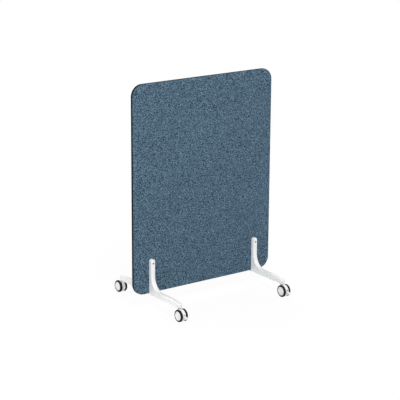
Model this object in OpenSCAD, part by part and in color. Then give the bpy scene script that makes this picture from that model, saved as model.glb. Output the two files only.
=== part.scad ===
// Rolling partition: a padded panel clamped between two pairs of cast legs that run on twin wheel casters.
// Millimetres. X runs along the panel, its front faces -Y and Z is up. The origin is on the floor, below
// the middle of the panel.

/* [Panel] */
// Width of the panel from side edge to side edge
panel_w = 1000; // [800:10:1400]
// Height of the panel from its bottom edge to its top edge
panel_h = 1255; // [900:5:1600]
// Radius of the panel's corners
corner_r = 70; // [40:5:110]
// Thickness of the board, which is also the width of the black edge band
core_t = 12; // [9:1:18]
// Thickness of the edge band round the board
band_t = 2; // [1:0.5:3]
// Thickness of the foam sheet on each face
foam_t = 4; // [3:0.5:8]
// Thickness of the fabric over the foam
fabric_t = 1; // [0.6:0.1:1.5]

/* [Legs] */
// Distance from a side edge of the panel to the middle of a leg
leg_inset = 122; // [105:1:200]
// Width of a leg
leg_w = 28; // [26:1:36]
// Radius of the rounded edges along the outer side of a leg
leg_round = 7; // [4:0.5:8]
// Depth of the upright, out from the face of the fabric
upright_d = 25.2; // [24:0.2:32]
// Height of the upright's top above the underside of the leg
upright_h = 218; // [200:1:300]
// Radius of the hollow curve between upright and foot bar
blend_r = 80; // [60:1:100]
// Height of the level part of the foot bar
bar_h = 34.5; // [30:0.5:40]
// Distance from the panel's mid plane to where the foot bar begins to droop
droop_start = 200; // [180:5:230]
// Radius of the droop towards the toe
droop_r = 700; // [450:10:900]
// Distance from the panel's mid plane to the end of a toe
leg_reach = 318; // [300:1:340]
// Thickness of the tongue that carries the panel's bottom edge
tongue_t = 6; // [5:0.5:8]

/* [Clamp] */
// Distance from the upright's top down to the clamp screw
clamp_drop = 25; // [20:1:60]
// Diameter of the clamp screw
clamp_d = 6; // [5:0.5:7]
// Diameter of the clamp screw's head
clamp_head_d = 10; // [9:0.5:11]
// Height of the clamp screw's head
clamp_head_h = 5.5; // [4:0.5:7]
// Width across the flats of the socket in the head
socket_w = 5; // [3:0.5:6]
// Depth of the recess that the head sits in
recess_h = 8; // [7.5:0.5:10]
// Distance from the tip of a clamp screw to the panel's mid plane
clamp_tip = 1.5; // [1:0.5:4]
// Outside diameter of the threaded sleeve through the panel
sleeve_d = 9; // [8.5:0.5:12]

/* [Tie plate] */
// Width of the tie plate under a pair of legs
tie_w = 16; // [14:1:18]
// Length of the tie plate
tie_l = 92; // [84:2:120]
// Thickness of the tie plate
tie_t = 3.5; // [3:0.5:4]
// Diameter of the tie screws
tie_screw_d = 5; // [4:0.5:6]
// Diameter of the countersunk heads
tie_head_d = 9.5; // [8:0.5:11]
// Length of the tie screws
tie_screw_l = 16; // [12:1:20]
// Distance from the panel's mid plane to the first tie screw
tie_first = 20; // [16:1:22]
// Distance between the two tie screws of a leg
tie_pitch = 15; // [12:1:18]

/* [Stems] */
// Distance from the end of a toe back to the stem
toe_to_stem = 19; // [18:0.5:26]
// Diameter of the shank in the leg
shank_d = 11; // [9:0.5:12]
// Length of the shank in the leg
shank_l = 13.5; // [10:0.5:15]
// Diameter of the collar under the leg
collar_d = 23; // [20:0.5:24]
// Thickness of the collar
collar_t = 4.2; // [3:0.1:5]
// Diameter of the pin that the caster swivels on
pin_d = 10; // [8:0.5:11]
// Length of the pin below the collar
pin_l = 25; // [20:0.5:28]
// Height of the spring ring above the pin's lower end
ring_up = 3; // [2:0.5:5]
// Thickness of the spring ring
ring_t = 0.9; // [0.7:0.1:1.5]
// Depth of the ring's groove in the pin
ring_in = 0.8; // [0.5:0.1:1.2]
// Distance that the ring stands out from the pin
ring_out = 1.2; // [0.8:0.1:1.6]
// Chamfer at the ends of the stem and the edge of its collar
stem_chamfer = 0.8; // [0.4:0.1:1]

/* [Caster body] */
// Distance that the wheels trail behind the stem
trail = 20; // [17:0.5:24]
// Width of the body between the wheels
body_w = 20.5; // [18:0.5:24]
// Distance that the body's rim lies inside the tread of the tyres
body_inset = 1.5; // [1:0.5:4]
// Radius of the rounded edges of the body's rim
body_edge = 2.5; // [1:0.5:3]
// Height of the body's flat foot above the floor
body_clear = 7; // [4:1:12]

/* [Wheels] */
// Diameter of a wheel over its tyre
wheel_d = 73; // [65:1:90]
// Width of one wheel
wheel_w = 13.5; // [13:0.5:18]
// Thickness of the tyre
tyre_t = 9.5; // [7:0.5:11]
// Radius of the tyre's shoulders
tyre_round = 5; // [3:0.5:6]
// Thickness of the hub's rim under the tyre
rim_t = 3.5; // [3:0.5:5]
// Thickness of the web between rim and boss
web_t = 3.5; // [2.5:0.5:4]
// Distance of the web from the hub's inner side
web_in = 1.5; // [0.5:0.5:2]
// Wall of the boss round the axle
boss_t = 5; // [3:0.5:7]
// Length of the boss
boss_l = 9.5; // [8:0.5:10]
// Diameter of the axle
axle_d = 8; // [6:0.5:9]
// Width of the rim of an axle head
axle_head_w = 1.5; // [1:0.5:3]
// Thickness of an axle head
axle_head_t = 1; // [0.6:0.1:1.2]
// Distance that a hub cap stands out past the tyre
cap_out = 0.8; // [0.1:0.1:1.5]
// Height of a hub cap
cap_h = 4.5; // [4.2:0.1:5]
// Radius of the hub cap's shoulder
cap_round = 2.5; // [2:0.5:4]
// Thickness of the hub cap's face
cap_t = 1.5; // [1.2:0.1:2]
// Length of the hub cap's spigot in the rim
spigot_l = 3; // [2:0.5:4]
// Wall of the hub cap's spigot
spigot_t = 1.5; // [1:0.5:2]

/* [Brake pedal] */
// Distance from the axle to the pedal's pivot
pivot_out = 22; // [18:0.5:24]
// Distance from the axle down to the pedal's pivot
pivot_drop = 0.5; // [0:0.5:4]
// Diameter of the moulded trunnions
trunnion_d = 5; // [4:0.5:6]
// Diameter of the pedal's root round its pivot
pedal_root_d = 10; // [8:0.5:11]
// Thickness of the body's cheeks beside the pedal
cheek_t = 4; // [3:0.5:5]
// Distance that the trunnions end inside the body's sides
trunnion_in = 1; // [0.5:0.5:2]
// Thickness of the pedal's tread
tread_t = 8; // [6:0.5:9]
// Width of the tread
tread_w = 17; // [14:0.5:18]
// Distance that the tread stands out past the tyres
tread_out = 20; // [14:1:24]
// Distance from the pivot down to the tread
tread_drop = 5; // [2:0.5:8]
// Gap between the tyres and the broad part of the tread
tread_gap = 1.5; // [1:0.5:3]
// Height of the body's slot above and below the pivot
slot_h = 13; // [11:0.5:14]

/* [Clearances] */
// Gap between the tyres and the underside of the legs
wheel_gap = 5; // [2.5:0.5:8]
// Gap between a wheel and the caster's body
side_gap = 0.5; // [0.3:0.1:1]
// Radial gap of the parts that turn on a pin
running_gap = 0.05; // [0.02:0.01:0.1]
// Gap of fixed parts in their holes and pockets
fixed_gap = 0.05; // [0.02:0.01:0.1]
// Gap between a moving part and what it moves past
free_gap = 0.3; // [0.2:0.05:0.6]
// Radial gap round a clamp screw's head
head_gap = 0.5; // [0.3:0.1:1]
// Gap past the blind end of a screw or a shank
end_gap = 0.5; // [0.3:0.1:2]
// Depth of the countersunk heads below the tie plate's face
head_sink = 0.2; // [0:0.1:0.5]

/* [Hidden] */
$fn = 96;
// Facets of the wide curves along the legs
wide_fn = 360;
CORNERS = ["left_front", "left_rear", "right_front", "right_rear"];
SIDES = [-1, -1, 1, 1];
ENDS = [-1, 1, -1, 1];
CORNER_PARTS = [
    "_leg", "_stem", "_caster_body", "_axle", "_brake_pedal",
    "_outer_hub", "_outer_tyre", "_outer_cap",
    "_inner_hub", "_inner_tyre", "_inner_cap"
];

fabric_blue = [0.30, 0.40, 0.46];
coat_white = [0.93, 0.93, 0.92];
plastic_white = [0.90, 0.90, 0.89];
steel_grey = [0.62, 0.63, 0.64];
soft_black = [0.09, 0.09, 0.10];
board_brown = [0.72, 0.60, 0.45];
foam_grey = [0.80, 0.80, 0.78];

// How far cuts run past a surface and how far pieces of one casting run into each other
overlap = 3;
// Step by which one of two tangent surfaces runs under the other
lap = 0.01;
// How far the rounded edges of a leg would stand out past its sides, which are cut flat
crease = 0.05;
// Longer than any part of a leg or a caster
far = 1000;

// Panel and heights
pad_t = foam_t + fabric_t;
face_y = core_t / 2 + pad_t;
leg_x = panel_w / 2 - leg_inset;
wheel_r = wheel_d / 2;
under_z = wheel_d + wheel_gap;
panel_z = under_z + tongue_t;
panel_mid_z = panel_z + panel_h / 2;

// Leg, seen from its side: u runs outwards from the panel's mid plane
leg_half = leg_w / 2;
edge_half = leg_half + crease;
bar_z = under_z + bar_h;
bar_deep = bar_h + overlap;
top_z = under_z + upright_h;
crown_z = top_z - edge_half;
crown_u = face_y + upright_d;
arch_z = bar_z + blend_r;
arch_u = crown_u + blend_r;
upright_deep = upright_d + overlap;
blend_deep = leg_round + 2 * overlap;
heel_r = blend_r + leg_round + overlap;
droop_lap = 2 * overlap / droop_r * 180 / PI;
droop_rise = atan2(edge_half, droop_r - leg_round);
droop_angle = asin((leg_reach - droop_start) / norm([droop_r - leg_round, edge_half])) - droop_rise;
stem_u = leg_reach - toe_to_stem;

// Clamp screws and tie screws
clamp_z = top_z - clamp_drop;
head_seat_u = crown_u - recess_h;
tie_head_h = (tie_head_d - tie_screw_d) / 2;
tie_us = [tie_first, tie_first + tie_pitch];

// Caster, seen from its side: s runs outwards from the stem
collar_z = under_z - collar_t;
pin_z = collar_z - pin_l;
ring_z = pin_z + ring_up;
groove_r = pin_d / 2 - ring_in;
ring_r = pin_d / 2 + ring_out;
neck_top = collar_z - free_gap;
body_r = wheel_r - body_inset;
wheel_in = body_w / 2 + side_gap;
wheel_end = wheel_in + wheel_w;
rim_r = wheel_r - tyre_t;
rim_in = rim_r - rim_t;
bore_r = axle_d / 2 + running_gap;
boss_r = bore_r + boss_t;
cap_end = wheel_end + cap_out;
cap_seat = cap_end - cap_h;
cap_r = rim_r - fixed_gap;
spigot_r = rim_in - fixed_gap;
head_in = wheel_in + boss_l + free_gap;
head_end = head_in + axle_head_t;
pivot_s = trail + pivot_out;
pivot_z = wheel_r - pivot_drop;
root_w = body_w - 2 * cheek_t - 2 * free_gap;
tread_s = trail + wheel_r + tread_out - tread_t / 2;
tread_z = pivot_z - tread_drop;
broad_s = trail + wheel_r + tread_gap;

// Puts a piece drawn in a leg's own frame (x outwards, z up) at corner i
module at_corner(i) {
    translate([SIDES[i] * leg_x, 0, 0])
        rotate([0, 0, 90 * ENDS[i]])
            children();
}

// Puts a piece drawn in a caster's own frame at corner i
module at_caster(i) {
    at_corner(i)
        translate([stem_u, 0, 0])
            children();
}

// Turns a revolved piece so that its axis lies along the axle of a caster; way is 1 or -1
module on_axle(way) {
    translate([trail, 0, wheel_r])
        rotate([-90 * way, 0, 0])
            children();
}

// Which way along a caster's axle its outer wheel lies
function outer_way(i) = -SIDES[i] * ENDS[i];

// A rectangle with round corners, centred
module round_rect(w, h, r) {
    square([w - 2 * r, h], center = true);
    square([w, h - 2 * r], center = true);
    for (sx = [-1, 1])
        for (sy = [-1, 1])
            translate([sx * (w / 2 - r), sy * (h / 2 - r)])
                circle(r);
}

// A quarter of a disc, for rounded edges
module quarter_disc(r) {
    intersection() {
        circle(r);
        square(r);
    }
}

// The outline of the panel less an inset all round
module panel_outline(inset) {
    round_rect(panel_w - 2 * inset, panel_h - 2 * inset, corner_r - inset);
}

// A sheet as large as the panel less an inset, its outer edge rounded over its full thickness
module round_edged_sheet(inset, t) {
    w = panel_w - 2 * inset;
    h = panel_h - 2 * inset;
    r = corner_r - inset;
    linear_extrude(t)
        panel_outline(inset + t);
    for (sx = [-1, 1])
        translate([sx * (w / 2 - t), 0, 0])
            rotate([90, 0, 0])
                linear_extrude(h - 2 * r, center = true)
                    mirror([sx < 0 ? 1 : 0, 0])
                        quarter_disc(t);
    for (sy = [-1, 1])
        translate([0, sy * (h / 2 - t), 0])
            rotate([90, 0, 90])
                linear_extrude(w - 2 * r, center = true)
                    mirror([sy < 0 ? 1 : 0, 0])
                        quarter_disc(t);
    for (sx = [-1, 1])
        for (sy = [-1, 1])
            translate([sx * (w / 2 - r), sy * (h / 2 - r), 0])
                rotate([0, 0, atan2(sy, sx) - 45])
                    rotate_extrude(angle = 90)
                        translate([r - t, 0])
                            quarter_disc(t);
}

// Stands a sheet upright against the front (-1) or the rear (1) face of the board
module on_face(end) {
    translate([0, end * core_t / 2, panel_mid_z])
        rotate([90, 0, end < 0 ? 0 : 180])
            children();
}

// A plate that stands upright in the middle of the panel's thickness
module upright_plate(t) {
    translate([0, 0, panel_mid_z])
        rotate([90, 0, 0])
            linear_extrude(t, center = true)
                children();
}

// Rods along the two clamp axes, through the panel
module clamp_rods(d, l) {
    for (side = [-1, 1])
        translate([side * leg_x, 0, clamp_z])
            rotate([90, 0, 0])
                cylinder(d = d, h = l, center = true);
}

// The holes that the sleeves pass through the panel in
module sleeve_holes() {
    clamp_rods(sleeve_d + 2 * fixed_gap, 2 * face_y + overlap);
}

// The stiff board in the middle of the panel
module panel_core() {
    color(board_brown)
        difference() {
            upright_plate(core_t)
                panel_outline(band_t);
            sleeve_holes();
        }
}

// The black band round the board's edge
module edge_band() {
    color(soft_black)
        upright_plate(core_t)
            difference() {
                panel_outline(0);
                panel_outline(band_t);
            }
}

// The foam sheet on one face of the board
module foam(end) {
    color(foam_grey)
        difference() {
            on_face(end)
                round_edged_sheet(fabric_t, foam_t);
            sleeve_holes();
        }
}

// The fabric cover over one foam sheet, wrapped round its edge to the board
module fabric(end) {
    color(fabric_blue)
        difference() {
            on_face(end)
                round_edged_sheet(0, pad_t);
            on_face(end)
                round_edged_sheet(fabric_t, foam_t);
            sleeve_holes();
        }
}

// The threaded sleeves that pass through the panel
module clamp_sleeves() {
    color(steel_grey)
        difference() {
            clamp_rods(sleeve_d, 2 * face_y);
            clamp_rods(clamp_d + 2 * fixed_gap, 2 * face_y + overlap);
        }
}

// The section of a leg before its sides are cut: outer side on x = 0 with rounded edges, depth along +x
module leg_section(deep) {
    edge_y = edge_half - leg_round;
    translate([leg_round, -leg_half - overlap])
        square([deep - leg_round, leg_w + 2 * overlap]);
    translate([0, -edge_y])
        square([deep, 2 * edge_y]);
    for (s = [-1, 1])
        translate([leg_round, s * edge_y])
            circle(leg_round);
}

// Half of that section on its middle line, its outer side on y = 0, to be revolved into a round end
module end_section(deep) {
    intersection() {
        rotate(-90)
            leg_section(deep);
        translate([0, -deep])
            square([edge_half, deep]);
    }
}

// Revolves that section about an axis across the leg, from one angle on through another
module leg_curve(start, angle) {
    rotate([90, 0, 0])
        rotate_extrude(start = start, angle = angle, $fn = wide_fn)
            children();
}

// The upright with its round top, and the hollow curve below it
module leg_upright() {
    translate([crown_u, 0, crown_z]) {
        rotate([0, 90, 0])
            rotate([0, 0, 90])
                rotate_extrude(angle = 180)
                    end_section(upright_deep);
        rotate([0, 180, 0])
            linear_extrude(crown_z - arch_z + overlap)
                leg_section(upright_deep);
    }
    translate([arch_u, 0, arch_z])
        leg_curve(180, 90)
            translate([blend_r + lap, 0])
                leg_section(blend_deep);
}

// The casting behind the hollow curve, down to the underside
module leg_heel() {
    rotate([90, 0, 0])
        linear_extrude(leg_w + 2 * overlap, center = true)
            difference() {
                translate([0, under_z - overlap])
                    square([arch_u, bar_h + blend_r + overlap]);
                translate([arch_u, arch_z])
                    circle(heel_r, $fn = wide_fn);
            }
}

// The level foot bar, its droop and its round toe
module leg_foot() {
    translate([arch_u - overlap, 0, bar_z])
        rotate([0, 90, 0])
            linear_extrude(droop_start - arch_u + overlap)
                leg_section(bar_deep);
    translate([droop_start, 0, bar_z - droop_r])
        rotate([0, droop_angle, 0]) {
            leg_curve(90, droop_angle + droop_lap)
                translate([droop_r + lap, 0])
                    mirror([1, 0])
                        leg_section(bar_deep);
            translate([0, 0, droop_r + lap])
                rotate([0, 0, -90])
                    rotate_extrude(angle = 180)
                        end_section(bar_deep);
        }
}

// The space that a leg fills: out from the fabric, up from the underside, and flat on both sides
module leg_space() {
    translate([face_y, -leg_half, under_z])
        cube([leg_reach, leg_w, upright_h + overlap]);
}

// Half of the pocket for the tie plate, with the holes for its screws
module tie_pocket() {
    translate([0, 0, under_z - overlap])
        linear_extrude(tie_t + fixed_gap + overlap)
            tie_outline(fixed_gap);
    for (u = tie_us)
        translate([u, 0, under_z])
            cylinder(d = tie_screw_d + 2 * fixed_gap, h = head_sink + tie_screw_l + end_gap);
}

// The recess and the hole for the clamp screw
module clamp_hole() {
    translate([0, 0, clamp_z])
        rotate([0, 90, 0]) {
            cylinder(d = clamp_d + 2 * fixed_gap, h = crown_u);
            translate([0, 0, head_seat_u])
                cylinder(d = clamp_head_d + 2 * head_gap, h = recess_h + overlap);
        }
}

// One cast leg: upright, hollow curve, heel, foot bar, and the tongue under the panel
module leg() {
    color(coat_white)
        difference() {
            union() {
                intersection() {
                    union() {
                        leg_upright();
                        leg_heel();
                        leg_foot();
                    }
                    leg_space();
                }
                translate([0, -leg_half, under_z])
                    cube([face_y + overlap, leg_w, tongue_t]);
            }
            tie_pocket();
            clamp_hole();
            translate([stem_u, 0, under_z - overlap])
                cylinder(d = shank_d + 2 * fixed_gap, h = shank_l + end_gap + overlap);
        }
}

// One socket head screw: its seat on z = 0, its shank towards -z
module clamp_screw() {
    shank_l = head_seat_u - clamp_tip;
    difference() {
        cylinder(d = clamp_head_d, h = clamp_head_h);
        translate([0, 0, clamp_head_h / 2])
            cylinder(d = socket_w / cos(30), h = clamp_head_h, $fn = 6);
    }
    translate([0, 0, -shank_l])
        cylinder(d = clamp_d, h = shank_l);
}

// The four clamp screws, one in each upright
module clamp_screws() {
    color(steel_grey)
        for (i = [0:3])
            at_corner(i)
                translate([head_seat_u, 0, clamp_z])
                    rotate([0, 90, 0])
                        clamp_screw();
}

// The outline of the tie plate, seen from below, its length along x; grow widens it for its pocket
module tie_outline(grow) {
    square([tie_l - tie_w, tie_w + 2 * grow], center = true);
    for (end = [-1, 1])
        translate([end * (tie_l - tie_w) / 2, 0])
            circle(d = tie_w + 2 * grow);
}

// One countersunk screw that points up, its head's face on z = 0; grow widens it for its hole
module tie_screw(grow) {
    cylinder(d1 = tie_head_d + 2 * grow, d2 = tie_screw_d + 2 * grow, h = tie_head_h);
    cylinder(d = tie_screw_d + 2 * grow, h = tie_screw_l);
}

// The steel bar that ties the front leg to the rear leg
module tie_plate(side) {
    color(steel_grey)
        difference() {
            translate([side * leg_x, 0, under_z])
                rotate([0, 0, 90])
                    linear_extrude(tie_t)
                        tie_outline(0);
            for (i = [0:3])
                at_corner(i)
                    for (u = tie_us)
                        translate([u, 0, under_z + head_sink]) {
                            tie_screw(fixed_gap);
                            translate([0, 0, -overlap])
                                cylinder(d = tie_head_d + 2 * fixed_gap, h = overlap);
                        }
        }
}

// The eight tie screws
module tie_screws() {
    color(steel_grey)
        for (i = [0:3])
            at_corner(i)
                for (u = tie_us)
                    translate([u, 0, under_z + head_sink])
                        tie_screw(0);
}

// The stem: shank in the leg, collar under it and the grooved pin that the caster swivels on
module stem() {
    c = stem_chamfer;
    color(steel_grey)
        rotate_extrude()
            polygon([
                [0, pin_z],
                [pin_d / 2 - c, pin_z],
                [pin_d / 2, pin_z + c],
                [pin_d / 2, ring_z],
                [groove_r, ring_z],
                [groove_r, ring_z + ring_t + 2 * fixed_gap],
                [pin_d / 2, ring_z + ring_t + 2 * fixed_gap],
                [pin_d / 2, collar_z],
                [collar_d / 2 - c, collar_z],
                [collar_d / 2, collar_z + c],
                [collar_d / 2, under_z],
                [shank_d / 2, under_z],
                [shank_d / 2, under_z + shank_l - c],
                [shank_d / 2 - c, under_z + shank_l],
                [0, under_z + shank_l]
            ]);
}

// The four spring rings that keep the casters on their stems
module stem_rings() {
    color(steel_grey)
        for (i = [0:3])
            at_caster(i)
                translate([0, 0, ring_z + fixed_gap])
                    difference() {
                        cylinder(r = ring_r, h = ring_t);
                        translate([0, 0, -overlap])
                            cylinder(r = groove_r + fixed_gap, h = ring_t + 2 * overlap);
                    }
}

// Half of the body's section, revolved round the axle: rounded along both edges of its rim
module body_section() {
    half = body_w / 2;
    translate([0, -half])
        square([body_r - body_edge, body_w]);
    translate([0, -half + body_edge])
        square([body_r, body_w - 2 * body_edge]);
    for (s = [-1, 1])
        translate([body_r - body_edge, s * (half - body_edge)])
            circle(body_edge);
}

// The caster's moulded body: a round hood between the wheels with a neck for the stem
module caster_body() {
    color(plastic_white)
        difference() {
            union() {
                on_axle(1)
                    rotate_extrude()
                        body_section();
                translate([0, 0, wheel_r])
                    cylinder(d = body_w, h = neck_top - wheel_r);
            }
            translate([-far / 2, -far / 2, body_clear - far])
                cube([far, far, far]);
            on_axle(1)
                cylinder(d = axle_d + 2 * fixed_gap, h = body_w + overlap, center = true);
            translate([0, 0, pin_z - free_gap])
                cylinder(r = pin_d / 2 + running_gap, h = far);
            translate([0, 0, ring_z - free_gap])
                cylinder(r = ring_r + free_gap, h = ring_t + 2 * fixed_gap + 2 * free_gap);
            translate([pivot_s - pedal_root_d / 2 - free_gap, -root_w / 2 - free_gap, pivot_z - slot_h])
                cube([far, root_w + 2 * free_gap, 2 * slot_h]);
            translate([pivot_s, 0, pivot_z])
                rotate([90, 0, 0])
                    cylinder(r = trunnion_d / 2 + running_gap, h = body_w + overlap, center = true);
        }
}

// The axle, fixed in the body, with a head outside each wheel's boss
module axle() {
    color(steel_grey)
        on_axle(1) {
            cylinder(d = axle_d, h = 2 * head_end, center = true);
            for (way = [-1, 1])
                translate([0, 0, way * (head_in + head_end) / 2])
                    cylinder(r = axle_d / 2 + axle_head_w, h = axle_head_t, center = true);
        }
}

// One wheel hub: rim, web and the boss that runs on the axle
module hub(way) {
    color(plastic_white)
        on_axle(way)
            rotate_extrude() {
                translate([rim_in, wheel_in])
                    square([rim_t, cap_seat - wheel_in]);
                translate([bore_r, wheel_in + web_in])
                    square([rim_r - bore_r, web_t]);
                translate([bore_r, wheel_in])
                    square([boss_t, boss_l]);
            }
}

// One tyre, round shouldered, on the rim of its hub
module tyre(way) {
    shoulder_r = wheel_r - tyre_round;
    color(soft_black)
        on_axle(way)
            rotate_extrude() {
                translate([rim_r, wheel_in])
                    square([tyre_t - tyre_round, wheel_w]);
                translate([rim_r, wheel_in + tyre_round])
                    square([tyre_t, wheel_w - 2 * tyre_round]);
                translate([shoulder_r, wheel_end - tyre_round])
                    quarter_disc(tyre_round);
                translate([shoulder_r, wheel_in + tyre_round])
                    mirror([0, 1])
                        quarter_disc(tyre_round);
            }
}

// One hub cap: a flat face with a round shoulder and a spigot that snaps into the rim
module cap(way) {
    color(plastic_white)
        on_axle(way)
            rotate_extrude()
                difference() {
                    union() {
                        translate([0, cap_seat])
                            square([cap_r - cap_round, cap_h]);
                        translate([0, cap_seat])
                            square([cap_r, cap_h - cap_round]);
                        translate([cap_r - cap_round, cap_end - cap_round])
                            quarter_disc(cap_round);
                        translate([0, cap_seat - spigot_l])
                            square([spigot_r, spigot_l + cap_h / 2]);
                    }
                    translate([0, cap_seat - spigot_l - overlap])
                        square([spigot_r - spigot_t, overlap + spigot_l + cap_h - cap_t]);
                }
}

// The side of the pedal, from its pivot to the end of its tread
module pedal_side() {
    translate([pivot_s, pivot_z])
        circle(d = pedal_root_d);
    translate([tread_s, tread_z])
        circle(d = tread_t);
    polygon([
        [pivot_s, pivot_z + pedal_root_d / 2],
        [tread_s, tread_z + tread_t / 2],
        [tread_s, tread_z - tread_t / 2],
        [pivot_s, pivot_z - pedal_root_d / 2]
    ]);
}

// The brake pedal: a lever that pivots between the body's cheeks and broadens into its tread
module brake_pedal() {
    color(plastic_white) {
        rotate([90, 0, 0])
            linear_extrude(root_w, center = true)
                pedal_side();
        intersection() {
            rotate([90, 0, 0])
                linear_extrude(tread_w, center = true)
                    pedal_side();
            translate([broad_s, -far / 2, -far / 2])
                cube([far, far, far]);
        }
        translate([pivot_s, 0, pivot_z])
            rotate([90, 0, 0])
                cylinder(d = trunnion_d, h = body_w - 2 * trunnion_in, center = true);
    }
}

panel_core();
edge_band();
foam(-1);  // front_foam
foam(1);  // rear_foam
fabric(-1);  // front_fabric
fabric(1);  // rear_fabric
clamp_sleeves();
clamp_screws();
tie_plate(-1);  // left_tie_plate
tie_plate(1);  // right_tie_plate
tie_screws();
stem_rings();
for (i = [0:3]) {
    corner = CORNERS[i];
    way = outer_way(i);
    at_corner(i) leg();
    at_caster(i) stem();
    at_caster(i) caster_body();
    at_caster(i) axle();
    at_caster(i) brake_pedal();
    at_caster(i) hub(way);
    at_caster(i) tyre(way);
    at_caster(i) cap(way);
    at_caster(i) hub(-way);
    at_caster(i) tyre(-way);
    at_caster(i) cap(-way);
}
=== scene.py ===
# %% [markdown]
# # A rolling partition, dressed
# The object is an upright screen on wheels, as used between desks: a thin padded panel in a blue melange
# fabric, held between two pairs of white cast legs that run on small twin wheel casters with brakes.
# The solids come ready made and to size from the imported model. This file gives them their surfaces, makes
# the soft covers and the hub caps again in finer meshes, and sets up the camera, the light and the floor.

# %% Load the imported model
import math

import bmesh
import bpy
from mathutils import Matrix, Vector, noise


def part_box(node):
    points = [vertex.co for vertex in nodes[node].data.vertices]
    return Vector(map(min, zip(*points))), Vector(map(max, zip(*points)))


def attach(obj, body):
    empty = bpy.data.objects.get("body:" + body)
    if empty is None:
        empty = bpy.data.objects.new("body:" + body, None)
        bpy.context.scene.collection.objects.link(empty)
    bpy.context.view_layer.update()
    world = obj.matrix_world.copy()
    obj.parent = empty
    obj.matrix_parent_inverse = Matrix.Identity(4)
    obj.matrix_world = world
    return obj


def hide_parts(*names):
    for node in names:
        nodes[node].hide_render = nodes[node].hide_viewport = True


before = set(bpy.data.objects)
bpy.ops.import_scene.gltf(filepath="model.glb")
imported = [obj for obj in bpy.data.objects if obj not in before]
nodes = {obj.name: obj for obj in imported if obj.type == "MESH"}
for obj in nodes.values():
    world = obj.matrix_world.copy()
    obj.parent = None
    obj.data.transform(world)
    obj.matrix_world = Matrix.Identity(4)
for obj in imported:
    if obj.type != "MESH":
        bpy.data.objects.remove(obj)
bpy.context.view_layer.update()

# %% [markdown]
# ## Sizes that several pieces share
# Each size is measured from the solids, so the dressed pieces follow them. Everything is in metres: X runs
# along the panel, the front faces -Y and Z is up.

# %% Measure the solids
MM = 0.001
TINY = 0.01 * MM
CORNERS = ("left_front", "left_rear", "right_front", "right_rear")

panel_low, panel_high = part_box("front_fabric")
band_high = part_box("edge_band")[1]
leg_low, leg_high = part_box("right_rear_leg")
face_y = -panel_low.y
board_y = band_high.y
pad_t = face_y - board_y
panel_half_w = panel_high.x
panel_mid_z = (panel_low.z + panel_high.z) / 2
panel_half_h = (panel_high.z - panel_low.z) / 2
leg_x = (leg_low.x + leg_high.x) / 2
leg_half = (leg_high.x - leg_low.x) / 2
print("panel", [round(2 * half, 4) for half in (panel_half_w, panel_half_h, face_y)])
print("legs at x", round(leg_x, 4), "from", round(leg_low.z, 4), "to", round(leg_high.z, 4))

# %% [markdown]
# ## The camera
# The photograph was taken from the front left and a little above, with a long lens. The angles and the lens
# below put the panel's corners, the legs and the wheels where the photograph has them. A camera can also be
# kept level and its picture shifted, which keeps upright lines parallel, but then no other view of the same
# scene would be centred, so this one looks straight at the object.

# %% Place the camera
VIEW_AZIMUTH = math.radians(35.8211)
VIEW_ELEVATION = math.radians(15.6709)
VIEW_ROLL = math.radians(0.3214)
VIEW_POINT = Vector((-4.8999, -6.7616, 2.9324))
PHOTO_PIXELS = 400
FOCAL_PIXELS = 1456.54
SENSOR_MM = 36.0

camera_data = bpy.data.cameras.new("photo_lens")
camera_data.sensor_width = SENSOR_MM
camera_data.lens = FOCAL_PIXELS / PHOTO_PIXELS * SENSOR_MM
camera_data.clip_end = 100.0
camera = bpy.data.objects.new("camera", camera_data)
bpy.context.scene.collection.objects.link(camera)
ahead = Vector((
    math.sin(VIEW_AZIMUTH) * math.cos(VIEW_ELEVATION),
    math.cos(VIEW_AZIMUTH) * math.cos(VIEW_ELEVATION),
    -math.sin(VIEW_ELEVATION),
))
level_right = Vector((math.cos(VIEW_AZIMUTH), -math.sin(VIEW_AZIMUTH), 0.0))
level_up = level_right.cross(ahead)
picture_right = level_right * math.cos(VIEW_ROLL) + level_up * math.sin(VIEW_ROLL)
picture_up = picture_right.cross(ahead)
camera.matrix_world = Matrix((
    (picture_right.x, picture_up.x, -ahead.x, VIEW_POINT.x),
    (picture_right.y, picture_up.y, -ahead.y, VIEW_POINT.y),
    (picture_right.z, picture_up.z, -ahead.z, VIEW_POINT.z),
    (0.0, 0.0, 0.0, 1.0),
))
bpy.context.scene.camera = camera
print("lens", round(camera_data.lens, 2), "mm at", tuple(round(v, 2) for v in camera.location))

# %% [markdown]
# ## Helpers for materials
# A material is a tree of small nodes. Writing each node out takes four lines, so one helper makes a node,
# sets what is the same all over, and joins its inputs. A value that is an output socket is linked, and any
# other value is set on the socket itself.

# %% Helpers for nodes
def feed(tree, socket, value):
    if isinstance(value, bpy.types.NodeSocket):
        tree.links.new(value, socket)
    else:
        socket.default_value = value


def add_node(tree, kind, inputs=None, **settings):
    node = tree.nodes.new(kind)
    for name, value in settings.items():
        setattr(node, name, value)
    for name, value in (inputs or {}).items():
        feed(tree, node.inputs[name], value)
    return node


def math_node(tree, operation, *values):
    return add_node(tree, "ShaderNodeMath", dict(enumerate(values)), operation=operation).outputs[0]


def noise_node(tree, place, scale, detail, roughness=0.5):
    inputs = {"Vector": place, "Scale": scale, "Detail": detail, "Roughness": roughness}
    return add_node(tree, "ShaderNodeTexNoise", inputs).outputs[0]


def remap(tree, value, low, high, to_low, to_high):
    inputs = {"Value": value, "From Min": low, "From Max": high, "To Min": to_low, "To Max": to_high}
    return add_node(tree, "ShaderNodeMapRange", inputs).outputs[0]


def mix_values(tree, share, first, second):
    return add_node(tree, "ShaderNodeMix", {0: share, 2: first, 3: second}, data_type="FLOAT").outputs[0]


def mix_colours(tree, share, first, second):
    return add_node(tree, "ShaderNodeMix", {0: share, 6: first, 7: second}, data_type="RGBA").outputs[2]


print("a value is either linked or set on its socket")


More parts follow.
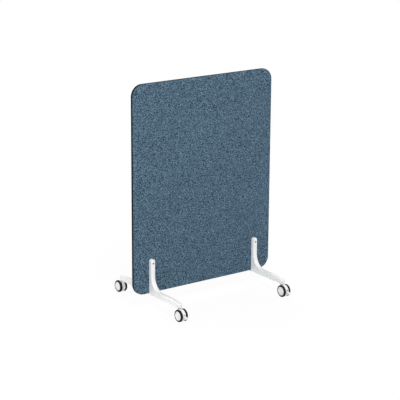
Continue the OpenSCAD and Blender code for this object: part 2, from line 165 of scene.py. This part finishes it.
# %% Helpers for groups and materials
def new_group(name, inputs, outputs):
    group = bpy.data.node_groups.new(name, "ShaderNodeTree")
    for label, kind, value in inputs:
        socket = group.interface.new_socket(label, in_out="INPUT", socket_type="NodeSocket" + kind)
        socket.default_value = value
    for label, kind in outputs:
        group.interface.new_socket(label, in_out="OUTPUT", socket_type="NodeSocket" + kind)
    start = group.nodes.new("NodeGroupInput")
    end = group.nodes.new("NodeGroupOutput")
    return group, start.outputs, end.inputs


def place_group(tree, group, **inputs):
    named = {name.replace("_", " "): value for name, value in inputs.items()}
    return add_node(tree, "ShaderNodeGroup", named, node_tree=group).outputs


def new_material(name):
    material = bpy.data.materials.new(name)
    material.use_nodes = True
    tree = material.node_tree
    tree.nodes.clear()
    shader = tree.nodes.new("ShaderNodeBsdfPrincipled")
    add_node(tree, "ShaderNodeOutputMaterial", {"Surface": shader.outputs[0]})
    where = add_node(tree, "ShaderNodeTexCoord").outputs["Object"]
    return material, tree, shader, where


def set_shader(tree, shader, **inputs):
    for name, value in inputs.items():
        feed(tree, shader.inputs[name.replace("_", " ")], value)


print("helpers ready")

# %% [markdown]
# ## The weave
# The cover is a plain weave of thick yarns, spun from dark and light fibres. From across a room the yarns
# are too small to see, and what is left is the melange, a lively grain in one colour. A picture of cloth
# could be wrapped round the panel, but the grain would repeat, so the yarns are worked out instead. First
# the place on the cloth is counted in yarns across and yarns up. Round the rim the cloth runs on into the
# depth of the panel, so that depth is added to its length.

# %% Node group: woven melange
YARN = 1.5 * MM
SLUB = 8.0 * MM
CLUMP = 4.3 * MM
CLUMP_SHARE = 0.6

weave, given, result = new_group(
    "woven melange",
    [("Vector", "Vector", (0, 0, 0)), ("Yarn", "Float", YARN), ("Slub", "Float", SLUB),
     ("Clump", "Float", CLUMP), ("Clump Share", "Float", CLUMP_SHARE),
     ("Dark", "Color", (0, 0, 0, 1)), ("Middle", "Color", (0.1, 0.1, 0.1, 1)),
     ("Light", "Color", (1, 1, 1, 1))],
    [("Color", "Color"), ("Height", "Float"), ("Rim_Shade", "Float")],
)
place = add_node(weave, "ShaderNodeSeparateXYZ", {"Vector": given["Vector"]}).outputs
into = math_node(weave, "SUBTRACT", face_y, math_node(weave, "ABSOLUTE", place["Y"]))
up = math_node(weave, "SUBTRACT", place["Z"], panel_mid_z)
across = math_node(weave, "MULTIPLY_ADD", math_node(weave, "SIGN", place["X"]), into, place["X"])
along = math_node(weave, "MULTIPLY_ADD", math_node(weave, "SIGN", up), into, up)
counts, parts, crossings = [], [], []
for length in (across, along):
    yarns = math_node(weave, "DIVIDE", length, given["Yarn"])
    counts.append(math_node(weave, "FLOOR", yarns))
    parts.append(math_node(weave, "FRACT", yarns))
    crossings.append(math_node(weave, "MULTIPLY", counts[-1], given["Yarn"]))
print("yarns", YARN, "m wide, so", round(2 * panel_half_w / YARN), "across the panel")

# %% [markdown]
# ## The tone of the yarns
# Where the sum of both counts is odd the warp is on top, else the weft. Each yarn has its own tone, which
# drifts along its length. Fibres of one shade also lie in clumps over a few yarns, and these clumps are what
# the eye still finds from a distance. They are looked up once for each crossing, so they end where yarns do.

# %% Tones of yarns and clumps
ROW_STEP, SET_STEP = 7.31, 3.7

odd = math_node(weave, "FLOORED_MODULO", math_node(weave, "ADD", *counts), 2.0)
tones = []
for count, length in ((counts[0], along), (counts[1], across)):
    row = math_node(weave, "MULTIPLY", count, ROW_STEP)
    run = math_node(weave, "DIVIDE", length, given["Slub"])
    spot = add_node(weave, "ShaderNodeCombineXYZ", {"X": row, "Y": run, "Z": SET_STEP * len(tones)})
    tones.append(noise_node(weave, spot.outputs[0], scale=1.0, detail=1.0, roughness=0.4))
yarn_tone = mix_values(weave, odd, tones[1], tones[0])
spot = add_node(weave, "ShaderNodeCombineXYZ", {"X": crossings[0], "Y": crossings[1], "Z": place["Y"]})
clump_scale = math_node(weave, "DIVIDE", 1.0, given["Clump"])
clumps = noise_node(weave, spot.outputs[0], scale=clump_scale, detail=1.0, roughness=0.6)
tone = mix_values(weave, given["Clump Share"], yarn_tone, clumps)
print("slubs", SLUB, "m long, clumps", CLUMP, "m wide")

# %% [markdown]
# ## Colour and height of the weave
# A low tone is dark, a middle one the colour of the cloth, and a high one light. Every yarn is a dome, and
# its height goes to the bump. Low down between the domes shade is painted in, towards the dark colour. The
# last output is a mask for the rim, which grows with the depth behind the face, for shade painted there.

# %% Colour, height and rim
TONE_MIDDLE, TONE_SPREAD = 0.5, 0.065
GAP_FROM, GAP_TO, GAP_SHADE_SHARE = 0.1, 0.6, 0.45
RIM_FROM, RIM_TO = 0.8 * MM, 3.5 * MM

low_tone = remap(weave, tone, TONE_MIDDLE - TONE_SPREAD, TONE_MIDDLE, 0.0, 1.0)
high_tone = remap(weave, tone, TONE_MIDDLE, TONE_MIDDLE + TONE_SPREAD, 0.0, 1.0)
shade = mix_colours(weave, low_tone, given["Dark"], given["Middle"])
shade = mix_colours(weave, high_tone, shade, given["Light"])
domes = []
for part in parts:
    off = math_node(weave, "MULTIPLY_ADD", part, 2.0, -1.0)
    domes.append(math_node(weave, "SUBTRACT", 1.0, math_node(weave, "MULTIPLY", off, off)))
dome = math_node(weave, "MULTIPLY_ADD", domes[1], 0.5, math_node(weave, "MULTIPLY", domes[0], 0.5))
# Painted shade: low between the domes the colour is mixed towards the dark yarn colour.
gap_shade = remap(weave, dome, GAP_FROM, GAP_TO, GAP_SHADE_SHARE, 1.0)
weave.links.new(mix_colours(weave, gap_shade, given["Dark"], shade), result["Color"])
weave.links.new(dome, result["Height"])
# This rim mask only serves to paint shade along the rim.
weave.links.new(remap(weave, into, RIM_FROM, RIM_TO, 0.0, 1.0), result["Rim_Shade"])
print("weave group has", len(weave.nodes), "nodes")

# %% [markdown]
# ## Fine grain
# Powder coat, moulded plastic and rubber all have a fine skin that breaks up highlights. One group makes it
# for all of them from two layers of noise, and gives a slow drift besides, for stains and uneven gloss.

# %% Node group: fine grain
FINER, FINE_SHARE = 0.35, 0.4
PATCH_LOW, PATCH_HIGH = 0.3, 0.7

grain, given, result = new_group(
    "fine grain",
    [("Vector", "Vector", (0, 0, 0)), ("Size", "Float", 1.0 * MM), ("Drift", "Float", 60 * MM)],
    [("Height", "Float"), ("Patches", "Float")],
)
layers = []
for share in (1.0, FINER):
    scale = math_node(grain, "DIVIDE", 1.0 / share, given["Size"])
    layers.append(noise_node(grain, given["Vector"], scale, detail=2.0))
grain.links.new(math_node(grain, "MULTIPLY_ADD", layers[1], FINE_SHARE, layers[0]), result["Height"])
slow = noise_node(grain, given["Vector"], math_node(grain, "DIVIDE", 1.0, given["Drift"]), detail=3.0)
grain.links.new(remap(grain, slow, PATCH_LOW, PATCH_HIGH, 0.0, 1.0), result["Patches"])
print("grain group has", len(grain.nodes), "nodes")

# %% [markdown]
# ## Dust
# Whatever runs on a floor picks up dust, and it lies low down. The group gives a mask that fades with the
# height above the floor and is broken up by noise.

# %% Node group: floor dust
DUST_CLOUDS = 90.0
CLOUD_LOW, CLOUD_HIGH, CLOUD_LEAST = 0.35, 0.7, 0.2

dust, given, result = new_group(
    "floor dust",
    [("Vector", "Vector", (0, 0, 0)), ("Reach", "Float", 60 * MM), ("Amount", "Float", 0.3)],
    [("Mask", "Float")],
)
height = add_node(dust, "ShaderNodeSeparateXYZ", {"Vector": given["Vector"]}).outputs["Z"]
near = math_node(dust, "SUBTRACT", 1.0, math_node(dust, "DIVIDE", height, given["Reach"]))
cloud = noise_node(dust, given["Vector"], DUST_CLOUDS, detail=4.0)
spread = remap(dust, cloud, CLOUD_LOW, CLOUD_HIGH, CLOUD_LEAST, 1.0)
spread = math_node(dust, "MULTIPLY", spread, given["Amount"])
mask = math_node(dust, "MULTIPLY", add_node(dust, "ShaderNodeClamp", {"Value": near}).outputs[0], spread)
dust.links.new(mask, result["Mask"])
print("dust group has", len(dust.nodes), "nodes")

# %% [markdown]
# ## Material: melange fabric
# The colour is a greyed blue. Dark navy and pale blue yarns stand out of a middle tone. A little sheen gives
# the soft rim that loose fibres show against the light. Where the cloth turns round the rim, shade is painted
# into its colour, which draws a thin dark line round the panel.

# %% Melange fabric
FABRIC_DARK = (0.003, 0.013, 0.030, 1)
FABRIC_MIDDLE = (0.038, 0.086, 0.134, 1)
FABRIC_LIGHT = (0.190, 0.300, 0.395, 1)
# A near black for the painted shade along the rim, and how much of it is mixed in.
FABRIC_RIM_SHADE = (0.008, 0.018, 0.030, 1)
RIM_SHADE_SHARE = 0.9

fabric, tree, shader, where = new_material("melange_fabric")
woven = place_group(
    tree, weave, Vector=where, Yarn=YARN, Slub=SLUB, Clump=CLUMP, Clump_Share=CLUMP_SHARE,
    Dark=FABRIC_DARK, Middle=FABRIC_MIDDLE, Light=FABRIC_LIGHT)
bump = add_node(tree, "ShaderNodeBump", {"Strength": 0.5, "Distance": 0.4 * MM, "Height": woven["Height"]})
# Painted shade: near the rim the cloth's colour is mixed towards a near black.
painted_rim_shade = math_node(tree, "MULTIPLY", woven["Rim_Shade"], RIM_SHADE_SHARE)
set_shader(
    tree, shader, Base_Color=mix_colours(tree, painted_rim_shade, woven["Color"], FABRIC_RIM_SHADE), Roughness=0.9,
    Normal=bump.outputs[0], Specular_IOR_Level=0.15, Sheen_Weight=0.04,
    Sheen_Roughness=0.5, Sheen_Tint=(0.7, 0.8, 0.9, 1))
print("fabric has", len(tree.nodes), "nodes")

# %% [markdown]
# ## The hard materials
# All others share one plan. Fine grain goes to the bump, which on the white pieces starts from a normal
# that is rounded at the edges. The colour runs from clean to worn in slow patches, or by the dust mask where
# there is dust, and the gloss drifts with the patches. What is the same all over is set on the shader.

# %% One plan for hard materials
def hard_material(name, clean, worn, roughness, size, drift, bump, edge=None, dusty=None, **constants):
    material, tree, shader, where = new_material(name)
    skin = place_group(tree, grain, Vector=where, Size=size, Drift=drift)
    relief = {"Strength": bump[0], "Distance": bump[1], "Height": skin["Height"]}
    if edge:
        relief["Normal"] = add_node(tree, "ShaderNodeBevel", {"Radius": edge}, samples=4).outputs[0]
    share = skin["Patches"]
    if dusty:
        share = place_group(tree, dust, Vector=where, Reach=dusty[0], Amount=dusty[1])["Mask"]
    if isinstance(roughness, tuple):
        roughness = remap(tree, skin["Patches"], 0.0, 1.0, *roughness)
    set_shader(
        tree, shader, Base_Color=mix_colours(tree, share, clean, worn), Roughness=roughness,
        Normal=add_node(tree, "ShaderNodeBump", relief).outputs[0], **constants)
    print(name, "has", len(tree.nodes), "nodes")
    return material


print("the plan is ready")

# %% [markdown]
# ## Material: white powder coat
# The castings are coated in a smooth white. Its skin is a fine orange peel, and its gloss drifts a little.

# %% White powder coat
powder_coat = hard_material(
    "white_powder_coat", clean=(0.88, 0.88, 0.875, 1), worn=(0.865, 0.865, 0.86, 1),
    roughness=(0.25, 0.28), size=0.9 * MM, drift=80 * MM, bump=(0.15, 0.05 * MM), edge=0.6 * MM)

# %% [markdown]
# ## Material: white plastic
# Hubs, caps, bodies and pedals are moulded in white plastic, less glossy than the coat and dusty near the
# floor.

# %% White plastic
white_plastic = hard_material(
    "white_plastic_moulded", clean=(0.87, 0.87, 0.865, 1), worn=(0.52, 0.51, 0.49, 1),
    roughness=(0.28, 0.36), size=0.5 * MM, drift=25 * MM, bump=(0.1, 0.03 * MM), edge=0.5 * MM,
    dusty=(50 * MM, 0.12))

# %% [markdown]
# ## Material: tyre rubber
# The tyres are black, matt, and grey with dust towards the floor.

# %% Tyre rubber
rubber = hard_material(
    "tyre_rubber", clean=(0.004, 0.004, 0.0045, 1), worn=(0.05, 0.049, 0.047, 1),
    roughness=(0.65, 0.8), size=0.7 * MM, drift=20 * MM, bump=(0.3, 0.08 * MM),
    dusty=(75 * MM, 0.2), Specular_IOR_Level=0.2)

# %% [markdown]
# ## Material: black edge band
# The band round the board is black plastic, extruded, with a fine matt grain.

# %% Black edge band
black_band = hard_material(
    "black_band_plastic", clean=(0.004, 0.004, 0.005, 1), worn=(0.010, 0.010, 0.011, 1),
    roughness=(0.75, 0.9), size=0.6 * MM, drift=120 * MM, bump=(0.3, 0.05 * MM),
    Specular_IOR_Level=0.05)

# %% [markdown]
# ## Material: zinc plated steel
# Stems, axles, sleeves, tie plates and their screws are bright zinc over steel: grey, metallic and slightly
# cloudy.

# %% Zinc plated steel
zinc = hard_material(
    "zinc_plated_steel", clean=(0.56, 0.57, 0.59, 1), worn=(0.42, 0.43, 0.45, 1),
    roughness=(0.32, 0.45), size=0.4 * MM, drift=8 * MM, bump=(0.2, 0.03 * MM), Metallic=1.0)

# %% [markdown]
# ## Material: blackened steel
# The clamp screws sit in their recesses, blackened against rust, so that they read as dark dots.

# %% Blackened steel
black_steel = hard_material(
    "blackened_steel", clean=(0.008, 0.008, 0.009, 1), worn=(0.022, 0.021, 0.020, 1),
    roughness=(0.55, 0.7), size=0.4 * MM, drift=4 * MM, bump=(0.2, 0.03 * MM), Metallic=0.2,
    Specular_IOR_Level=0.3)

# %% [markdown]
# ## Material: fibre board
# The board between the covers is pressed from wood fibre. Nothing of it shows, but it is finished like the
# rest, so that the part can be opened up: pale brown, with darker patches.

# %% Fibre board
fibre_board = hard_material(
    "fibre_board", clean=(0.36, 0.25, 0.15, 1), worn=(0.20, 0.13, 0.075, 1), roughness=0.85,
    size=1.2 * MM, drift=7 * MM, bump=(0.3, 0.1 * MM))

# %% [markdown]
# ## Give the solids their materials
# The names of the solids say what each is made of, so a short table of name endings is enough.

# %% Assign materials
FINISHES = {
    "_leg": powder_coat, "_stem": zinc, "_caster_body": white_plastic, "_axle": zinc,
    "_brake_pedal": white_plastic, "_hub": white_plastic, "_tyre": rubber, "_cap": white_plastic,
    "edge_band": black_band, "clamp_sleeves": zinc, "clamp_screws": black_steel, "_tie_plate": zinc,
    "tie_screws": zinc, "stem_rings": zinc, "panel_core": fibre_board, "_fabric": fabric, "_foam": fabric,
}
for name, piece in nodes.items():
    finish = next(f for ending, f in FINISHES.items() if name.endswith(ending))
    piece.data.materials.clear()
    piece.data.materials.append(finish)
print("finished", len(nodes), "solids")

# %% [markdown]
# ## The covers
# Each face of the board carries a thin sheet of foam, with the fabric pulled tight over it and round its rim
# to the edge band. The solid for it is flat. A cover is built flat as well, but in a mesh fine enough to
# swell: rings follow the panel's outline inwards, first round the rim and then over the face, and a grid
# fills the rest. The grid's lines crowd together beside the uprights, where the cloth dips.

# %% Sizes of a cover
RIM_STEPS = 7
ARC_STEPS = 10
GRID_PITCH = 15 * MM
FACE_INSETS = tuple(MM * v for v in (6.5, 9, 13, 18, 25, 34, 45, 57))
BACK_INSETS = (35 * MM,)
DIP_LINES = tuple(MM * v for v in (1.5, 3.5, 6.5, 11, 18))
SLEEVE_HALF = 4.6 * MM

top_line = [v.co.x for v in nodes["edge_band"].data.vertices if v.co.z > band_high.z - TINY]
inner_half_w = max(top_line)
corner_r = panel_half_w - inner_half_w
inner_half_h = panel_half_h - corner_r
sleeve_low, sleeve_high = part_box("clamp_sleeves")
sleeve_z = (sleeve_low.z + sleeve_high.z) / 2 - panel_mid_z
upright_top = leg_high.z - panel_mid_z
print("corner radius", round(corner_r, 4), "sleeves at height", round(sleeve_z, 4))


# %% Where the grid's lines lie
def spaced(marks):
    marks = sorted({round(mark, 6) for mark in marks})
    lines = [marks[0]]
    for low, high in zip(marks, marks[1:]):
        steps = math.ceil((high - low) / GRID_PITCH)
        lines += [low + (high - low) * step / steps for step in range(1, steps + 1)]
    return lines


x_marks = [-inner_half_w, inner_half_w]
for side in (-1, 1):
    x_marks += [side * leg_x + way * SLEEVE_HALF for way in (-1, 1)]
    x_marks += [side * leg_x + way * (leg_half + step) for way in (-1, 1) for step in (0.0,) + DIP_LINES]
z_marks = [-inner_half_h, inner_half_h, sleeve_z - SLEEVE_HALF, sleeve_z + SLEEVE_HALF]
z_marks += [upright_top + step for step in (-leg_half, -leg_half / 2, -leg_half / 5, 0.0) + DIP_LINES]
x_lines = spaced(x_marks)
z_lines = spaced(z_marks)
print("grid of", len(x_lines), "by", len(z_lines), "lines")


# %% How far a place lies from the outline
def inset_of(x, z):
    return min(panel_half_w - abs(x), panel_half_h - abs(z))


print("the middle of the panel lies", round(inset_of(0, 0), 3), "m from its outline")


# %% A ring that follows the outline
def ring_places(inset):
    half_w, half_h, radius = panel_half_w - inset, panel_half_h - inset, corner_r - inset
    sides = (
        [(half_w, z) for z in z_lines],
        [(x, half_h) for x in reversed(x_lines)],
        [(-half_w, z) for z in reversed(z_lines)],
        [(x, -half_h) for x in x_lines],
    )
    places = []
    for quarter, (side, sx, sz) in enumerate(zip(sides, (1, -1, -1, 1), (1, 1, -1, -1))):
        places += side
        for step in range(1, ARC_STEPS):
            angle = math.pi / 2 * (quarter + step / ARC_STEPS)
            x = sx * inner_half_w + radius * math.cos(angle)
            places.append((x, sz * inner_half_h + radius * math.sin(angle)))
    return places


def join_rings(shell, outer, inner):
    for step in range(len(outer)):
        after = (step + 1) % len(outer)
        corners = dict.fromkeys((outer[step], outer[after], inner[after], inner[step]))
        if len(corners) > 2:
            shell.faces.new(corners)


print("a ring has", len(ring_places(0.0)), "places")


# %% Lay one sheet: rings first, then the grid
def in_sleeve(x_line, z_line):
    middle_x = (x_lines[x_line] + x_lines[x_line + 1]) / 2
    middle_z = (z_lines[z_line] + z_lines[z_line + 1]) / 2
    return abs(abs(middle_x) - leg_x) < SLEEVE_HALF and abs(middle_z - sleeve_z) < SLEEVE_HALF


def lay_sheet(shell, ring, insets, point, depth):
    for inset in insets:
        following = [point(x, z, depth) for x, z in ring_places(inset)]
        join_rings(shell, ring, following)
        ring = following
    grid = {(x, z): point(x, z, depth) for x in x_lines for z in z_lines}
    nearest = {(round(x, 6), round(z, 6)): vertex for (x, z), vertex in grid.items()}
    join_rings(shell, ring, [nearest[round(x, 6), round(z, 6)] for x, z in ring_places(corner_r)])
    holes = []
    for i in range(len(x_lines) - 1):
        for k in range(len(z_lines) - 1):
            turns = ((i, k), (i + 1, k), (i + 1, k + 1), (i, k + 1))
            square = [grid[x_lines[m], z_lines[n]] for m, n in turns]
            if in_sleeve(i, k):
                holes.append(square)
            else:
                shell.faces.new(square)
    return holes


print("holes are left for the sleeves at x", round(-leg_x, 3), "and", round(leg_x, 3))


# %% Turn a finished shell into an object
def finish_piece(shell, name, material, sharp_degrees):
    mesh = bpy.data.meshes.new(name)
    shell.to_mesh(mesh)
    shell.free()
    mesh.polygons.foreach_set("use_smooth", [True] * len(mesh.polygons))
    mesh.set_sharp_from_angle(angle=math.radians(sharp_degrees))
    mesh.materials.append(material)
    piece = bpy.data.objects.new(name, mesh)
    bpy.context.scene.collection.objects.link(piece)
    return piece


print("edges sharper than the given angle stay crisp, the rest is shaded smooth")


# %% Build the two covers
def build_cover(name, way):
    shell = bmesh.new()

    def point(x, z, depth):
        return shell.verts.new((x, way * (board_y + depth), panel_mid_z + z))

    first = [point(x, z, 0.0) for x, z in ring_places(0.0)]
    rim = first
    for step in range(1, RIM_STEPS + 1):
        turn = math.pi / 2 * step / RIM_STEPS
        places = ring_places(pad_t * (1.0 - math.cos(turn)))
        following = [point(x, z, pad_t * math.sin(turn)) for x, z in places]
        join_rings(shell, rim, following)
        rim = following
    face_holes = lay_sheet(shell, rim, FACE_INSETS, point, pad_t)
    back_holes = lay_sheet(shell, first, BACK_INSETS, point, 0.0)
    for face_hole, back_hole in zip(face_holes, back_holes):
        join_rings(shell, face_hole, back_hole)
    bmesh.ops.recalc_face_normals(shell, faces=shell.faces)
    return finish_piece(shell, name, fabric, 50)


covers = {way: build_cover(name, way) for name, way in (("front_cover", -1), ("rear_cover", 1))}
print("each cover has", len(covers[1].data.polygons), "faces")

# %% [markdown]
# ## The padding pushes the cloth out
# The foam presses the stretched cloth outwards everywhere but at the rim, where it is folded over, and under
# the uprights, which clamp it. Blender's cloth does the same with pressure inside a closed shell whose rim,
# back and clamped places are pinned, with no gravity. Thin hard padding gives way by a millimetre only, so a
# soft limit turns the free bulge of the simulation into that. Front and rear are alike, so one simulation
# serves both. A slow wave is added, for the small unevenness of hand stretched cloth.

# %% Where the cloth is held
crown_z = upright_top - leg_half


def is_held(x, z, depth):
    above = max(z - crown_z, 0.0)
    clamped = math.hypot(abs(x) - leg_x, above) < leg_half + TINY
    return clamped or depth < pad_t - TINY or inset_of(x, z) < pad_t + TINY


print("held in the middle:", is_held(0, 0, pad_t))
print("held under an upright:", is_held(leg_x, crown_z, pad_t))


# %% Blow the cover up
CLOTH_FRAMES = 20
PRESSURE = 4.0


def bulge_of(cover, way):
    mesh = cover.data
    held = [
        v.index for v in mesh.vertices
        if is_held(v.co.x, v.co.z - panel_mid_z, way * v.co.y - board_y)]
    group = cover.vertex_groups.new(name="held")
    group.add(held, 1.0, "REPLACE")
    cloth = cover.modifiers.new("padding", "CLOTH")
    cloth.settings.vertex_group_mass = group.name
    cloth.settings.use_pressure = True
    cloth.settings.uniform_pressure_force = PRESSURE
    cloth.settings.effector_weights.gravity = 0.0
    cloth.point_cache.frame_start, cloth.point_cache.frame_end = 1, CLOTH_FRAMES
    for moment in range(1, CLOTH_FRAMES + 1):
        bpy.context.scene.frame_set(moment)
    blown = cover.evaluated_get(bpy.context.evaluated_depsgraph_get()).data.vertices
    pushed = [max(way * (after.co.y - before.co.y), 0.0) for after, before in zip(blown, mesh.vertices)]
    cover.modifiers.remove(cloth)
    cover.vertex_groups.remove(group)
    bpy.context.scene.frame_set(1)
    return pushed


bulge = bulge_of(covers[-1], -1)
print("free bulge at most:", round(max(bulge) / MM, 1), "mm")

# %% Limit the bulge and finish the covers
CROWN = 0.9 * MM
SOFT_LIMIT = 3.0 * MM
WAVE = 0.25 * MM
WAVE_LENGTH = 130 * MM
SLOW_SLICE, QUICK_SLICE = 3.1, 8.7
QUICKER, QUICK_SHARE = 2.3, 0.5


def wave_at(x, z):
    slow = noise.noise(Vector((x, z, SLOW_SLICE)) / WAVE_LENGTH)
    return slow + QUICK_SHARE * noise.noise(Vector((x, z, QUICK_SLICE)) * QUICKER / WAVE_LENGTH)


for way, cover in covers.items():
    for vertex, free in zip(cover.data.vertices, bulge):
        share = 1.0 - math.exp(-free / SOFT_LIMIT)
        swell = share * (CROWN + WAVE * wave_at(vertex.co.x, vertex.co.z - panel_mid_z))
        vertex.co.y += way * swell
    side_name = cover.name.removesuffix("_cover")
    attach(cover, "panel_and_legs")
    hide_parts(side_name + "_fabric", side_name + "_foam")
    depth = max(way * v.co.y for v in cover.data.vertices) - board_y
    print(cover.name, "stands", round(depth / MM, 2), "mm deep")

# %% [markdown]
# ## The hub caps
# The cap of a real wheel is a shallow moulding: a round bead along its edge, and inside it a face that lies a
# little deeper, so a bright ring runs round a calmer disc. The solid has a plain face. A lathe gives the real
# one: half a section is drawn as points, with radius and depth, and turned once round the axle.

# %% Half a section of a cap
CAP_TURNS = 96
WELD = 0.001 * MM
DISH_DEPTH = 0.9 * MM
BEAD_WIDTH = 6.0 * MM
CAP_WALL = 1.4 * MM
CAP_HEIGHT = 4.5 * MM
SPIGOT_IN = 3.5 * MM
CAP_SHOULDER = 2.5 * MM
BEAD_BULK = 1.2
ROUND_STEPS = 6


def rounded(centre_r, centre_d, radius, first, last):
    angles = [math.radians(first + (last - first) * step / ROUND_STEPS) for step in range(ROUND_STEPS + 1)]
    return [(centre_r + radius * math.cos(a), centre_d + radius * math.sin(a)) for a in angles]


def cap_section(cap_r, cap_deep):
    bead = 0.5 * BEAD_WIDTH
    dish_r = cap_r - CAP_SHOULDER - BEAD_WIDTH
    spigot_r = cap_r - SPIGOT_IN
    inside = -DISH_DEPTH - CAP_WALL
    section = [(0.0, -DISH_DEPTH), (dish_r - DISH_DEPTH, -DISH_DEPTH)]
    section += rounded(dish_r - DISH_DEPTH, 0.0, DISH_DEPTH, -90, -20)
    section += rounded(dish_r + bead, -BEAD_BULK * bead, BEAD_BULK * bead, 130, 90)
    section += rounded(cap_r - CAP_SHOULDER, -CAP_SHOULDER, CAP_SHOULDER, 90, 0)
    section += [(cap_r, -CAP_HEIGHT), (spigot_r, -CAP_HEIGHT), (spigot_r, -cap_deep)]
    section += [(spigot_r - CAP_WALL, -cap_deep), (spigot_r - CAP_WALL, inside)]
    return section + [(0.0, inside)]


print("a section has", len(cap_section(27 * MM, 7.5 * MM)), "points")


# %% Turn the caps
def turn_cap(name, node_name, way):
    low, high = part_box(node_name)
    axle_y, axle_z = (low.y + high.y) / 2, (low.z + high.z) / 2
    face_x = high.x if way > 0 else low.x
    section = cap_section((high.z - low.z) / 2, high.x - low.x)
    shell = bmesh.new()
    rings = []
    for step in range(CAP_TURNS):
        turn = 2 * math.pi * step / CAP_TURNS
        rings.append([
            shell.verts.new((face_x + way * d, axle_y + r * math.cos(turn), axle_z + r * math.sin(turn)))
            for r, d in section
        ])
    for ring, after in zip(rings, rings[1:] + rings[:1]):
        for step in range(len(section) - 1):
            shell.faces.new((ring[step], ring[step + 1], after[step + 1], after[step]))
    bmesh.ops.remove_doubles(shell, verts=shell.verts, dist=WELD)
    bmesh.ops.recalc_face_normals(shell, faces=shell.faces)
    return finish_piece(shell, name, white_plastic, 35)


for corner in CORNERS:
    for side_name in ("outer", "inner"):
        cap_node = corner + "_" + side_name + "_cap"
        body_low, body_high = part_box(corner + "_caster_body")
        way = 1 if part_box(cap_node)[0].x > (body_low.x + body_high.x) / 2 else -1
        cap = turn_cap(cap_node + "_face", cap_node, way)
        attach(cap, corner + "_" + side_name + "_wheel")
        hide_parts(cap_node)
print("turned", 2 * len(CORNERS), "caps")

# %% [markdown]
# ## Light and floor
# A plain pale studio: an even sky, a large soft lamp from the left of the front, and four smaller ones round
# the object, which draw the bright lines along the castings' edges and keep the shaded sides pale. The
# camera and reflections see the sky as plain white and the floor as nearly so. Further out the floor fades
# to the same white, so that no line shows where it ends.

# %% What the camera sees and what lights
def seen_directly(tree):
    rays = add_node(tree, "ShaderNodeLightPath").outputs
    seen = math_node(tree, "MAXIMUM", rays["Is Camera Ray"], rays["Is Glossy Ray"])
    return math_node(tree, "MAXIMUM", seen, rays["Is Transmission Ray"])


WHITE = (1, 1, 1, 1)
print("rays from the camera and from reflections count as seen")


# %% Sky
SKY_LEVEL = 0.42

world = bpy.data.worlds.new("studio")
bpy.context.scene.world = world
world.use_nodes = True
tree = world.node_tree
tree.nodes.clear()
sky = add_node(tree, "ShaderNodeBackground", {"Color": WHITE, "Strength": SKY_LEVEL}).outputs[0]
plain = add_node(tree, "ShaderNodeBackground", {"Color": WHITE, "Strength": 1.0}).outputs[0]
both = add_node(tree, "ShaderNodeMixShader", {0: seen_directly(tree), 1: sky, 2: plain}).outputs[0]
add_node(tree, "ShaderNodeOutputWorld", {"Surface": both})
print("sky at", SKY_LEVEL)

# %% Floor
FLOOR_HALF = 12.0
FLOOR_WHITE = (0.90, 0.90, 0.90, 1)
FLOOR_SHADE = (0.88, 0.88, 0.88, 1)
FLOOR_GLOW = 0.94
GLOW_FROM, GLOW_TO = 1.2, 3.5

floor_mesh = bpy.data.meshes.new("floor")
floor_corners = [(FLOOR_HALF * x, FLOOR_HALF * y, 0) for x, y in ((-1, -1), (1, -1), (1, 1), (-1, 1))]
floor_mesh.from_pydata(floor_corners, [], [(0, 1, 2, 3)])
floor = bpy.data.objects.new("floor", floor_mesh)
bpy.context.scene.collection.objects.link(floor)
pale, tree, shader, where = new_material("pale_floor")
skin = place_group(tree, grain, Vector=where, Size=3 * MM, Drift=900 * MM)
set_shader(
    tree, shader, Base_Color=mix_colours(tree, skin["Patches"], FLOOR_WHITE, FLOOR_SHADE),
    Roughness=0.8, Specular_IOR_Level=0.1)
glow = add_node(tree, "ShaderNodeEmission", {"Color": WHITE, "Strength": 1.0}).outputs[0]
away = add_node(tree, "ShaderNodeVectorMath", {0: where}, operation="LENGTH").outputs["Value"]
reach = remap(tree, away, GLOW_FROM, GLOW_TO, FLOOR_GLOW, 1.0)
share = math_node(tree, "MULTIPLY", seen_directly(tree), reach)
both = add_node(tree, "ShaderNodeMixShader", {0: share, 1: shader.outputs[0], 2: glow}).outputs[0]
output = next(node for node in tree.nodes if node.type == "OUTPUT_MATERIAL")
tree.links.new(both, output.inputs["Surface"])
floor_mesh.materials.append(pale)
print("floor", 2 * FLOOR_HALF, "m wide")

# %% Lamps
LAMP_AIM = Vector((0, 0, 0.5))
LAMPS = {
    "softbox": (Vector((-1.8, -3.4, 5.2)), 2.4, 205.0),
    "rim_light": (Vector((-3.2, 4.0, 3.4)), 1.2, 55.0),
    "left_light": (Vector((-4.2, -0.9, 3.2)), 1.2, 40.0),
    "rear_light": (Vector((2.4, 4.2, 4.2)), 2.0, 90.0),
    "right_light": (Vector((4.6, -1.0, 3.0)), 1.6, 32.0),
}

for name, (place, side, power) in LAMPS.items():
    lamp_data = bpy.data.lights.new(name, "AREA")
    lamp_data.shape = "SQUARE"
    lamp_data.size = side
    lamp_data.energy = power
    lamp = bpy.data.objects.new(name, lamp_data)
    lamp.location = place
    lamp.rotation_mode = "QUATERNION"
    lamp.rotation_quaternion = (LAMP_AIM - place).to_track_quat("-Z", "Y")
    bpy.context.scene.collection.objects.link(lamp)
bpy.context.scene.view_settings.view_transform = "Standard"
print("lamps:", ", ".join(LAMPS))
